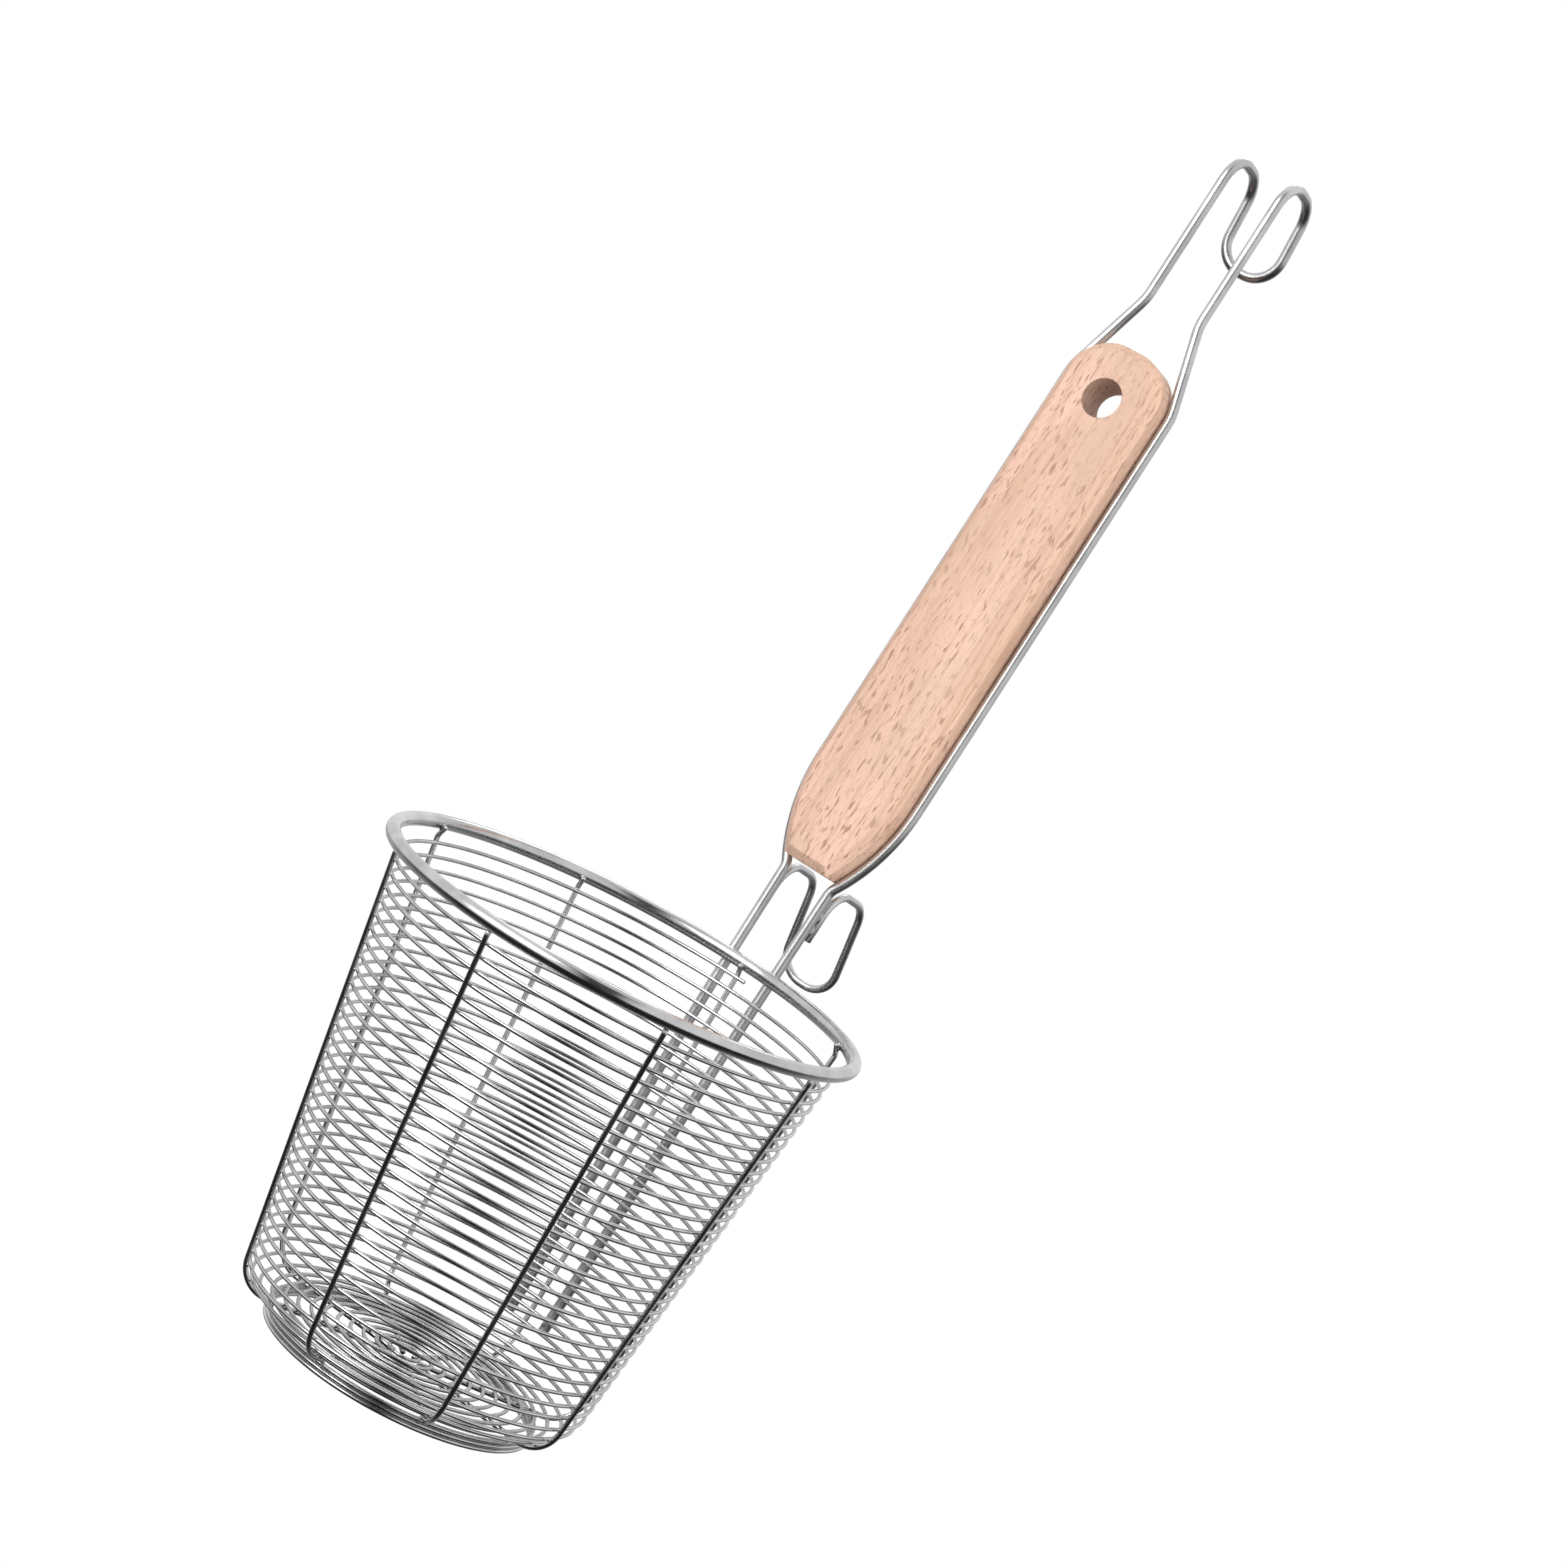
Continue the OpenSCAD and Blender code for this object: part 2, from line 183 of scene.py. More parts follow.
class StrainerSettings(bpy.types.PropertyGroup):
    """Sizes that the frame's boxes do not give, and the colours."""
    weld_gap: mm("Weld gap", 0.05, "Clearance between two welded wires")
    rib_wire: mm("Rib wire", 1.5, "Thickness of a rib")
    rib_inset: mm("Rib inset", 1.6, "How far inside the rim ring's wire the wall would end")
    rib_tip: mm("Rib tip", 0.8, "Length of a rib beyond its weld on the rim ring")
    rib_tip_room: mm("Rib tip room", 0.45, "How far under the rim ring a rib bends upright")
    rib_tip_bend_r: mm("Rib tip bend", 2.5, "Bend radius of a rib under the rim ring")
    wall_foot_r: mm("Wall foot radius", 49.9, "Where the sloping wall would meet the bottom")
    knuckle_r: mm("Knuckle radius", 10, "Bend radius of the ribs between wall and bottom")
    rib_end_r: mm("Rib end radius", 4, "Distance from the axis to a rib's inner end")
    coil_wire: mm("Spiral wire", 1.1, "Thickness of the spiral wire")
    coil_pitch: mm("Spiral pitch", 3.85, "Distance from one turn to the next")
    coil_drop: mm("Spiral drop", 4, "Distance of the first turn below the rim ring")
    coil_end_r: mm("Spiral end radius", 3.5, "Radius at which the spiral ends")
    coil_tail: mm("Spiral tail", 4, "How far the free end passes the rib at the handle")
    coil_sway: mm("Spiral sway", 0.12, "Small unevenness of the spiral's height")
    handle_lean: turned("Lean", 10.2, "Outward lean of the handle")
    handle_wire: mm("Handle wire", 3, "Thickness of the handle wire")
    leg_gap_rim: mm("Leg gap", 15.4, "Distance between the legs at the rim ring")
    leg_gap_end: mm("Leg end gap", 12.4, "Distance between the legs' lower ends")
    leg_end_h: mm("Leg end height", 16.5, "Height of the legs' lower ends")
    leg_room: mm("Leg room", 0.15, "Spare clearance of the legs' lower ends")
    leg_bend_r: mm("Leg bend", 60, "Bend radius of the legs at the rim ring")
    shoulder_len: mm("Shoulder", 2, "Straight stretch of the legs just under the wood")
    shoulder_bend_r: mm("Shoulder bend", 5, "Bend radius of the legs just under the wood")
    neck_gap: mm("Neck gap", 18.4, "Distance between the legs above the wood")
    neck_angle: turned("Neck angle", 17, "How steeply the legs close in above the wood")
    neck_bend_r: mm("Neck bend", 15, "Bend radius of the legs where they have closed in")
    hook_top: mm("Hook top", 264.5, "Top of the hanging hook along the handle")
    hook_depth: mm("Hook depth", 24, "Depth of the hanging hook at its lower end")
    hook_flare: mm("Hook flare", 4.5, "How much less deep the hook is at its top")
    hook_drop: mm("Hook drop", 25, "Length of the hanging hook's return")
    hook_bend_r: mm("Hook bend", 8.5, "Bend radius of the hanging hook")
    rest_wire: mm("Rest wire", 2.3, "Thickness of the rest hook")
    rest_gap: mm("Rest gap", 17.6, "Distance between the rest hook's sides")
    rest_bend_r: mm("Rest bend", 8, "Bend radius of the rest hook")
    rest_weld_from: mm("Rest weld", 13.7, "Lower end of the rest hook's welded legs")
    rest_top: mm("Rest top", 30.1, "Top of the rest hook along the handle")
    rest_top_depth: mm("Rest top depth", 22.5, "Depth of the rest hook's top")
    rest_low: mm("Rest low", 2.9, "Lower edge of the rest hook along the handle")
    rest_low_depth: mm("Rest low depth", 33.7, "Depth of the rest hook's lower edge")
    wood_w: mm("Wood width", 31, "Width of the wooden handle")
    wood_t: mm("Wood thickness", 14, "Thickness of the wooden handle")
    wood_len: mm("Wood length", 169, "Length of the wooden handle")
    wood_from: mm("Wood start", 31.5, "Lower end of the wood along the handle")
    wood_end_w: mm("Wood end width", 15, "Width of the wood's lower end")
    taper_len: mm("Taper", 28.5, "Length of the taper at the wood's lower end")
    crown_r: mm("Crown radius", 13, "Corner radius of the wood's upper end")
    wood_chamfer: mm("Chamfer", 2.3, "Width of the rounded chamfer along the wood")
    wood_forward: mm("Wood forward", 1.5, "How far the wood lies before the wires")
    wood_gap: mm("Wood gap", 0.3, "Clearance between wood and wire")
    hole_d: mm("Hole", 11.5, "Diameter of the hanging hole")
    hole_lip: mm("Hole lip", 0.35, "Size of the hanging hole's rounded lip")
    hole_from_top: mm("Hole place", 16.3, "Distance of the hole from the top of the wood")
    steel_bright: tint("Bright steel", (0.70, 0.70, 0.70), "Steel where the wire is rubbed")
    steel_dull: tint("Dull steel", (0.56, 0.56, 0.57), "Steel elsewhere")
    weld_pale: tint("Pale weld", (0.66, 0.66, 0.66), "Lightest spots of a weld")
    weld_dark: tint("Dark weld", (0.38, 0.37, 0.36), "Darkest spots of a weld")
    wood_pale: tint("Pale wood", (0.92, 0.66, 0.50), "Lightest bands of the grain")
    wood_deep: tint("Deep wood", (0.68, 0.42, 0.30), "Darkest bands of the grain")
    wood_streak: tint("Streaks", (0.64, 0.40, 0.28), "Thin streaks of the grain")
    wood_shade: tint("Shades", (0.42, 0.25, 0.17), "Broad darker places")
    wood_rosy: tint("Rosy wood", (0.90, 0.56, 0.45), "Clouds in the wood")
    # Also the tone of the painted shade past the growth lines at the wood's right edge
    wood_line: tint("Growth lines", (0.56, 0.33, 0.21), "Lines between the growth rings")
    wood_fine: tint("Fine pores", (0.46, 0.27, 0.18), "Flecks of the finest pores")
    wood_pore: tint("Pores", (0.36, 0.20, 0.13), "Flecks of the open pores")
    # Painted shade on the wall of the hanging hole, which is shadowed
    wood_bored: tint("Hole shade", (0.10, 0.06, 0.04), "Shade on the wall of the hole")


# Routes of the wires

def bend_points(before, corner, after, radius):
    """Points of the arc that rounds one corner of a route."""
    a = (corner - before).normalized()
    b = (after - corner).normalized()
    angle = a.angle(b)
    centre = corner + (b - a).normalized() * radius / math.cos(angle / 2)
    out = (corner - a * radius * math.tan(angle / 2) - centre).normalized()
    steps = max(BEND_STEPS, math.ceil(math.degrees(angle) / BEND_STEP_DEGREES),
                math.ceil(angle * radius / BEND_STEP_LENGTH))
    return [centre + radius * (out * math.cos(angle * k / steps) + a * math.sin(angle * k / steps))
            for k in range(steps + 1)]


def rounded(corners, bends):
    """A route of corners with each inner corner rounded to its bend radius."""
    corners = [Vector(c) for c in corners]
    route = [corners[0]]
    for before, corner, after, radius in zip(corners, corners[1:], corners[2:], bends[1:]):
        route += bend_points(before, corner, after, radius)
    return route + [corners[-1]]


def mirrored(half, bends):
    """A rounded route whose second half mirrors the first one across X."""
    far = [(-x, y, z) for x, y, z in reversed(half)]
    return rounded(half + far, bends + bends[::-1])


def circle(radius, z, count):
    """A closed level route."""
    return [Vector((radius * math.cos(math.tau * k / count),
                    radius * math.sin(math.tau * k / count), z)) for k in range(count)]


def arc(centre, radius, start, end):
    """Points of an arc in a plane, from one angle to another."""
    angles = [start + (end - start) * k / OUTLINE_STEPS for k in range(OUTLINE_STEPS + 1)]
    return [centre + radius * Vector((math.cos(a), math.sin(a))) for a in angles]


def ring_size(name):
    """Wire thickness, radius and height of one of the frame's rings."""
    low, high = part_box(name)
    wire = high[2] - low[2]
    return wire, (high[0] - low[0] - wire) / 2, (high[2] + low[2]) / 2


def rib_turn(number):
    """Turn from +X to one rib, numbered from 1 at the handle."""
    return Matrix.Rotation(math.pi / 2 - (number - 1) * math.tau / RIBS, 4, "Z")


class Basket:
    """Sizes of the basket, worked out from the frame's rings and the settings."""

    def __init__(self, s):
        self.s = s
        self.rim_wire, self.rim_r, self.rim_h = ring_size("rim_ring")
        self.foot_wire, self.foot_r, _ = ring_size("foot_ring_1")
        self.foot_step = self.foot_wire + s.weld_gap
        self.rib_z = FOOT_RINGS * self.foot_step + s.rib_wire / 2
        self.coil_in = s.rib_wire / 2 + s.coil_wire / 2 + s.weld_gap
        reach = self.rim_wire / 2 + s.rib_wire / 2 + s.weld_gap
        rim = Vector((self.rim_r, self.rim_h))
        wall_top = rim - Vector((s.rib_inset, math.sqrt(reach ** 2 - s.rib_inset ** 2)))
        rise = wall_top - Vector((s.wall_foot_r, self.rib_z))
        self.wall = math.atan2(rise[0], rise[1])
        corner_h = self.rim_h - reach - s.rib_tip_room
        self.tip_corner = Vector((self.wall_radius(corner_h), corner_h))
        to_rim = rim - self.tip_corner
        tip = math.atan2(to_rim[0], to_rim[1]) - math.asin(reach / to_rim.length)
        tip_len = math.sqrt(to_rim.length ** 2 - reach ** 2) + s.rib_tip
        self.rib_top = self.tip_corner + tip_len * Vector((math.sin(tip), math.cos(tip)))
        self.rim_weld = rim - self.rim_wire / 2 * Vector((math.cos(tip), -math.sin(tip)))

    def wall_radius(self, z):
        """Distance of the ribs' middle line from the axis, at a height of the wall."""
        return self.s.wall_foot_r + (z - self.rib_z) * math.tan(self.wall)

    def rib_route(self, number):
        """Route of one rib, from its tip at the rim ring to its end under the bottom."""
        s = self.s
        corners = [(self.rib_top[0], 0, self.rib_top[1]),
                   (self.tip_corner[0], 0, self.tip_corner[1]),
                   (s.wall_foot_r, 0, self.rib_z), (s.rib_end_r, 0, self.rib_z)]
        bends = [0, s.rib_tip_bend_r, s.knuckle_r, 0]
        return [rib_turn(number) @ p for p in rounded(corners, bends)]

    def coil_route(self):
        """The spiral's points, down the wall, round the knuckle and inwards."""
        s = self.s
        bend_r = s.knuckle_r - self.coil_in
        bend_turn = math.pi / 2 - self.wall
        floor_z = self.rib_z + self.coil_in
        corner_r = s.wall_foot_r - self.coil_in * (1 - math.sin(self.wall)) / math.cos(self.wall)
        setback = bend_r * math.tan(bend_turn / 2)
        slope_top = (self.rim_h - s.coil_drop - floor_z) / math.cos(self.wall)
        slope_len = slope_top - setback
        bend_len = bend_r * bend_turn
        length = slope_len + bend_len + corner_r - setback - s.coil_end_r
        start = math.pi / 2 - s.coil_tail / self.rim_r
        count = round(length / s.coil_pitch * COIL_STEPS)
        route = []
        for i in range(count + 1):
            done = i * length / count
            angle = start + math.tau * done / s.coil_pitch
            if done < slope_len:
                r = corner_r + (slope_top - done) * math.sin(self.wall)
                h = floor_z + (slope_top - done) * math.cos(self.wall)
            elif done < slope_len + bend_len:
                turn = (done - slope_len) / bend_r + self.wall
                r = corner_r - setback + bend_r * math.cos(turn)
                h = floor_z + bend_r - bend_r * math.sin(turn)
            else:
                r = corner_r - setback - (done - slope_len - bend_len)
                h = floor_z
            if done < slope_len - bend_len:
                sways = [math.sin(beats * angle + shift) for beats, shift in SWAYS]
                h += s.coil_sway * sum(sways) / len(sways)
            route.append(Vector((r * math.cos(angle), r * math.sin(angle), h)))
        return route


class Handle:
    """Routes of the handle's wires and the outline of its wood, in the plane of the handle.

    Coordinates there are x across, y backwards and z along the handle from the rim ring, and
    place turns them into the strainer's.
    """

    def __init__(self, s, basket):
        self.s = s
        upright = basket.rim_wire / 2 + s.handle_wire / 2 + s.weld_gap
        seat_r = basket.rim_r + upright / math.cos(s.handle_lean)
        self.seat_y = math.sqrt(seat_r ** 2 - (s.leg_gap_rim / 2) ** 2)
        self.place = (Matrix.Translation((0, self.seat_y, basket.rim_h))
                      @ Matrix.Rotation(-s.handle_lean, 4, "X"))
        off_ribs = s.coil_wire / 2 + s.handle_wire / 2 + s.weld_gap - basket.coil_in
        end_r = (basket.wall_radius(s.leg_end_h) + s.leg_room
                 + off_ribs / math.cos(basket.wall))
        end_y = math.sqrt(end_r ** 2 - (s.leg_gap_end / 2) ** 2)
        self.leg_end = self.place.inverted() @ Vector((s.leg_gap_end / 2, end_y, s.leg_end_h))
        self.wood_half = s.wood_w / 2
        wood_top = s.wood_from + s.wood_len
        self.crown = Vector((self.wood_half - s.crown_r, wood_top - s.crown_r))
        taper_in = (s.wood_w - s.wood_end_w) / 2
        self.taper_r = (s.taper_len ** 2 + taper_in ** 2) / (2 * taper_in)
        self.taper = math.asin(s.taper_len / self.taper_r)
        self.taper_centre = Vector((self.wood_half - self.taper_r, s.wood_from + s.taper_len))
        self.hole = wood_top - s.hole_from_top

    def leg_route(self):
        """Route of the handle wire: up one leg, over the hanging hook and down the other."""
        s = self.s
        seat = s.handle_wire / 2 + s.wood_gap
        side = self.wood_half + seat
        taper_r = self.taper_r + seat
        crown_r = s.crown_r + seat
        setback = taper_r * math.tan(self.taper / 2)
        taper_corner = Vector((side, self.taper_centre[1] - setback))
        shoulder = taper_corner - (setback + s.shoulder_len) * Vector(
            (math.sin(self.taper), math.cos(self.taper)))
        crown = self.crown[1] + crown_r * math.tan(s.neck_angle / 2)
        out = s.neck_gap / 2
        neck = crown + (side - out) / math.tan(s.neck_angle)
        leg = [tuple(self.leg_end), (s.leg_gap_rim / 2, 0, 0), (shoulder[0], 0, shoulder[1]),
               (side, 0, taper_corner[1]), (side, 0, crown), (out, 0, neck), (out, 0, s.hook_top),
               (out, s.hook_depth - s.hook_flare, s.hook_top),
               (out, s.hook_depth, s.hook_top - s.hook_drop)]
        bends = [0, s.leg_bend_r, s.shoulder_bend_r, taper_r, crown_r, s.neck_bend_r]
        return [self.place @ p for p in mirrored(leg, bends + [s.hook_bend_r] * 3)]

    def rest_route(self):
        """Route of the rest hook, welded to the backs of the legs and bent back and down."""
        s = self.s
        back = s.handle_wire / 2 + s.rest_wire / 2 + s.weld_gap
        out = s.rest_gap / 2
        leg = [(out, back, s.rest_weld_from), (out, back, s.rest_top),
               (out, s.rest_top_depth, s.rest_top), (out, s.rest_low_depth, s.rest_low)]
        return [self.place @ p for p in mirrored(leg, [0] + [s.rest_bend_r] * 3)]

    def outline(self):
        """The wood's outline as (across, along) points: taper and crown, then their mirror."""
        half = (arc(self.taper_centre, self.taper_r, -self.taper, 0)
                + arc(self.crown, self.s.crown_r, 0, math.pi / 2))
        return half + [Vector((-p[0], p[1])) for p in reversed(half)]


def measure(context):
    """The settings, and the basket and the handle that are worked out from them."""
    s = context.scene.strainer
    basket = Basket(s)
    return s, basket, Handle(s, basket)


# Meshes

Station = namedtuple("Station", "point along side radius done")


def heading(route, i, closed):
    """Direction of a route at one of its points."""
    last = len(route) - 1
    if closed:
        return (route[(i + 1) % len(route)] - route[i - 1]).normalized()
    return (route[min(i + 1, last)] - route[max(i - 1, 0)]).normalized()


def axes(side, along):
    """Turn whose X is the side of a wire and whose Z runs along it."""
    return Matrix((side, along.cross(side), along)).transposed().to_4x4()


def sweep(bm, frames, sides, lengths=None):
    """Rolls a flat grid up into a tube along the frames, and joins its seam.

    With lengths, the tube also gets a UV map: round it, and along it in metres.
    """
    rows = len(frames) - 1
    grid = bmesh.ops.create_grid(bm, x_segments=sides, y_segments=rows, size=1.0)
    where = {vert: (round((vert.co.x + 1) / 2 * sides), round((vert.co.y + 1) / 2 * rows))
             for vert in grid["verts"]}
    uv = bm.loops.layers.uv.new("UVMap") if lengths else None
    for vert, (around, row) in where.items():
        angle = math.tau * around / sides
        vert.co = frames[row] @ Vector((math.cos(angle), math.sin(angle), 0))
        for loop in vert.link_loops if lengths else ():
            loop[uv].uv = (around / sides, lengths[row])
    for face in {face for vert in where for face in vert.link_faces}:
        face.smooth = True
    bmesh.ops.remove_doubles(bm, verts=list(where), dist=MM / 1000)


def end_cap(station, way):
    """Three stations that round the edge of a cut wire; way is -1 at the start, 1 at the end."""
    edge = station.radius * CUT_EDGE
    cap = [station._replace(point=station.point + station.along * way * (math.sin(a) - 1) * edge,
                            radius=station.radius - edge * (1 - math.cos(a)))
           for a in (0, math.pi / 4, math.pi / 2)]
    return cap if way > 0 else cap[::-1]


def tube(name, route, radius, sides, closed=False):
    """A smooth round wire along a route, with rounded ends and a UV map in metres."""
    side = heading(route, 0, closed).orthogonal().normalized()
    stations = []
    done = 0.0
    for i, point in enumerate(route):
        along = heading(route, i, closed)
        side = (side - side.dot(along) * along).normalized()
        if i:
            done += (point - route[i - 1]).length
        stations.append(Station(point, along, side, radius, done))
    if closed:
        stations.append(stations[0]._replace(done=done + (route[0] - route[-1]).length))
    else:
        stations = end_cap(stations[0], -1) + stations[1:-1] + end_cap(stations[-1], 1)
    frames = [Matrix.Translation(at.point) @ axes(at.side, at.along) @ Matrix.Scale(at.radius, 4)
              for at in stations]
    bm = bmesh.new()
    sweep(bm, frames, sides, [at.done for at in stations])
    if not closed:
        bmesh.ops.holes_fill(bm, edges=[edge for edge in bm.edges if edge.is_boundary])
    return finished(name, bm)


def finished(name, bm):
    """Turns a bmesh into an object whose faces point outwards."""
    bmesh.ops.recalc_face_normals(bm, faces=bm.faces)
    mesh = bpy.data.meshes.new(name)
    bm.to_mesh(mesh)
    bm.free()
    obj = bpy.data.objects.new(name, mesh)
    bpy.context.collection.objects.link(obj)
    return obj


def wire_piece(name, node_name, route, radius, sides, material, closed=False):
    """A wire in place of one of the frame's nodes."""
    obj = tube(name, route, radius, sides, closed)
    obj.data.materials.append(material)
    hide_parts(node_name)
    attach(obj, BODY)


def flat_ends(bm):
    """The flat front and back of the wood, the only faces with more than four corners."""
    return [face for face in bm.faces if len(face.verts) > 4]


def wood_mesh(handle):
    """The wooden handle: its outline extruded and chamfered, and the hanging hole."""
    s = handle.s
    front = -s.wood_forward - s.wood_t / 2
    bm = bmesh.new()
    outline = [bm.verts.new((p[0], front, p[1])) for p in handle.outline()]
    face = bmesh.ops.contextual_create(bm, geom=outline)["faces"]
    made = bmesh.ops.extrude_face_region(bm, geom=face, use_keep_orig=True)["geom"]
    moved = [part for part in made if isinstance(part, bmesh.types.BMVert)]
    bmesh.ops.translate(bm, vec=(0, s.wood_t, 0), verts=moved)
    rims = [edge for end in flat_ends(bm) for edge in end.edges]
    bmesh.ops.bevel(bm, geom=rims, offset=s.wood_chamfer, offset_type="OFFSET",
                    segments=CHAMFER_STEPS, profile=CHAMFER_PROFILE, affect="EDGES", material=-1)
    bmesh.ops.delete(bm, geom=flat_ends(bm), context="FACES_ONLY")
    lip = s.hole_lip
    mouth = [(lip, 0), (lip * LIP_GROWTH, lip * LIP_DEPTH), (0, lip)]
    bore = mouth + [(grow, s.wood_t - depth) for grow, depth in reversed(mouth)]
    upright = Matrix.Rotation(math.pi / 2, 4, "X")
    frames = [Matrix.Translation((0, front + depth, handle.hole)) @ upright
              @ Matrix.Diagonal((s.hole_d / 2 + grow, s.hole_d / 2 + grow, 1, 1))
              for grow, depth in bore]
    sweep(bm, frames, HOLE_SIDES)
    for level in (front, front + s.wood_t):
        bmesh.ops.triangle_fill(bm, use_beauty=True, edges=[
            edge for edge in bm.edges
            if edge.is_boundary and abs(edge.verts[0].co.y - level) < lip / 10])
    bmesh.ops.transform(bm, matrix=handle.place, verts=bm.verts)
    return finished("wooden_handle_turned", bm)


def weld_bead(bm, point, along, radius, stretch):
    """A small flattened bead, drawn out along a wire and a little uneven."""
    along = along.normalized()
    place = (Matrix.Translation(point) @ axes(along.orthogonal().normalized(), along)
             @ Matrix.Diagonal((1, BEAD_FLATNESS, stretch, 1)))
    made = bmesh.ops.create_icosphere(bm, subdivisions=3, radius=radius, matrix=place)
    for vert in made["verts"]:
        x, y, z = (bumps * part for bumps, part in zip(BEAD_BUMPS, vert.co))
        wobble = math.sin(x + 3) * math.sin(y + z)
        vert.co = point + (vert.co - point) * (1 + BEAD_WOBBLE * wobble)
    for face in {face for vert in made["verts"] for face in vert.link_faces}:
        face.smooth = True


def weld_places(s, basket, handle):
    """Place, direction and size of each weld, first the ribs' and then the handle wires'."""
    along_handle = handle.place.to_3x3() @ Vector((0, 0, 1))
    places = []
    for number in range(1, RIBS + 1):
        turn = rib_turn(number)
        route = basket.rib_route(number)
        rim = turn @ Vector((basket.rim_weld[0], 0, basket.rim_weld[1]))
        foot = turn @ Vector((basket.foot_r, 0, basket.rib_z - s.rib_wire / 2))
        places += [(rim, route[1] - route[0], RIM_BEAD),
                   (foot, turn @ Vector((0, 1, 0)), FOOT_BEAD)]
    for side in (-1, 1):
        x, y, z = handle.leg_end
        seat = Vector((side * s.leg_gap_rim / 2, handle.seat_y, basket.rim_h))
        low = handle.place @ Vector((side * x, y, z + LEG_BEAD_UP))
        for point, along, bead in ((seat, Vector((1, 0, 0)), SEAT_BEAD),
                                   (low, Vector((0, 0, 1)), LEG_BEAD)):
            inwards = Vector((point.x, point.y, 0)).normalized()
            places.append((point - inwards * (s.handle_wire / 2), along, bead))
        for up in (s.rest_weld_from + REST_BEAD_UP, s.rest_top - REST_BEAD_DOWN):
            out = side * (s.rest_gap / 2 - REST_BEAD_IN)
            point = handle.place @ Vector((out, s.handle_wire / 2, up))
            places.append((point, along_handle, REST_BEAD))
    return places


# Node trees

class Socket:
    """A value in a node tree: operators on it add Math nodes."""

    def __init__(self, tree, link):
        self.tree = tree
        self.link = link

    def math(self, operation, *others):
        """This value and the others through one Math node."""
        return maths(self.tree, operation, self, *others)

    def __add__(self, other):
        return self.math("ADD", other)

    def __sub__(self, other):
        return self.math("SUBTRACT", other)

    def __rsub__(self, other):
        return maths(self.tree, "SUBTRACT", other, self)

    def __mul__(self, other):
        return self.math("MULTIPLY", other)

    def __truediv__(self, other):
        return self.math("DIVIDE", other)

    __radd__ = __add__
    __rmul__ = __mul__


def node(tree, kind, settings=None, inputs=None, output=0):
    """Adds a node, sets its settings, then feeds its sockets with values or links."""
    made = tree.nodes.new(kind)
    for key, value in (settings or {}).items():
        if key == "stops":
            set_stops(made.color_ramp, value)
        else:
            setattr(made, key, value)
    for key, value in (inputs or {}).items():
        if isinstance(value, Socket):
            tree.links.new(value.link, made.inputs[key])
        else:
            made.inputs[key].default_value = value
    return Socket(tree, made.outputs[output]) if made.outputs else None


def set_stops(ramp, stops):
    """Gives a ramp its stops, each a place and a brightness."""
    while len(ramp.elements) < len(stops):
        ramp.elements.new(1.0)
    for element, (place, bright) in zip(ramp.elements, stops):
        element.position = place
        element.color = (bright, bright, bright, 1)


def maths(tree, operation, *values):
    """One Math node on values or links."""
    return node(tree, "ShaderNodeMath", {"operation": operation}, dict(enumerate(values)))


def vector_maths(tree, operation, a, b, output="Vector"):
    """One Vector Math node on two vectors, or on a vector and its scale."""
    second = "Scale" if operation == "SCALE" else 1
    return node(tree, "ShaderNodeVectorMath", {"operation": operation}, {0: a, second: b}, output)


def coordinates(tree, kind):
    """Where on the piece a point is."""
    return node(tree, "ShaderNodeTexCoord", output=kind)


def scaled(vector, scale, turn=(0, 0, 0)):
    """A vector turned and squeezed to the size of a pattern."""
    return node(vector.tree, "ShaderNodeMapping", {},
                {"Vector": vector, "Rotation": turn, "Scale": scale})


def noise(vector, scale=1.0, detail=3.0, rough=0.5, output=0):
    """Soft noise on a vector."""
    return node(vector.tree, "ShaderNodeTexNoise", {}, {
        "Vector": vector, "Scale": scale, "Detail": detail, "Roughness": rough}, output)


def ramped(value, *stops):
    """A value sent through a ramp of stops."""
    return node(value.tree, "ShaderNodeValToRGB", {"stops": stops}, {0: value})


def mix_colour(factor, a, b):
    """Mixes two colours, each a link or three numbers. The node's sockets go by number,
    because its colour sockets share their names with others."""
    a, b = (c if isinstance(c, Socket) else (*c, 1) for c in (a, b))
    return node(factor.tree, "ShaderNodeMix", {"data_type": "RGBA"}, {0: factor, 6: a, 7: b}, 2)


def bump(height, strength, distance):
    """A bumpy normal from a height."""
    return node(height.tree, "ShaderNodeBump", {},
                {"Strength": strength, "Distance": distance, "Height": height})


# Materials

def surface(name, links, metallic=0.0):
    """A new material with its Principled shader; links are made by a function of the tree."""
    mat = bpy.data.materials.new(name)
    mat.use_nodes = True
    tree = mat.node_tree
    shader = next(n for n in tree.nodes if n.type == "BSDF_PRINCIPLED")
    shader.inputs["Metallic"].default_value = metallic
    for key, value in links(tree).items():
        tree.links.new(value.link, shader.inputs[key])
    return mat


def cached(make):
    """Makes a material once and hands out the same one afterwards."""
    def get():
        name = "strainer_" + make.__name__.replace("_material", "")
        return bpy.data.materials.get(name) or make(name)
    return get


def drawn_wire(name, rough):
    """Drawn steel wire: die lines along it, faint rubbed patches."""
    def links(tree):
        s = bpy.context.scene.strainer
        lines = noise(scaled(coordinates(tree, "UV"), DIE_LINES))
        patches = noise(coordinates(tree, "Object"), RUBBED_PATCHES)
        rubbed = ramped(patches, (0.42, 0.0), (0.62, 1.0))
        return {"Base Color": mix_colour(rubbed, s.steel_dull, s.steel_bright),
                "Roughness": rough + 0.09 * lines + 0.05 * rubbed,
                "Normal": bump(lines, 0.12, 0.04 * MM)}
    return surface(name, links, metallic=1.0)


@cached
def steel_material(name):
    """Bright wire of the basket."""
    return drawn_wire(name, 0.12)


@cached
def satin_material(name):
    """The handle's thicker wire, a little duller."""
    return drawn_wire(name, 0.27)


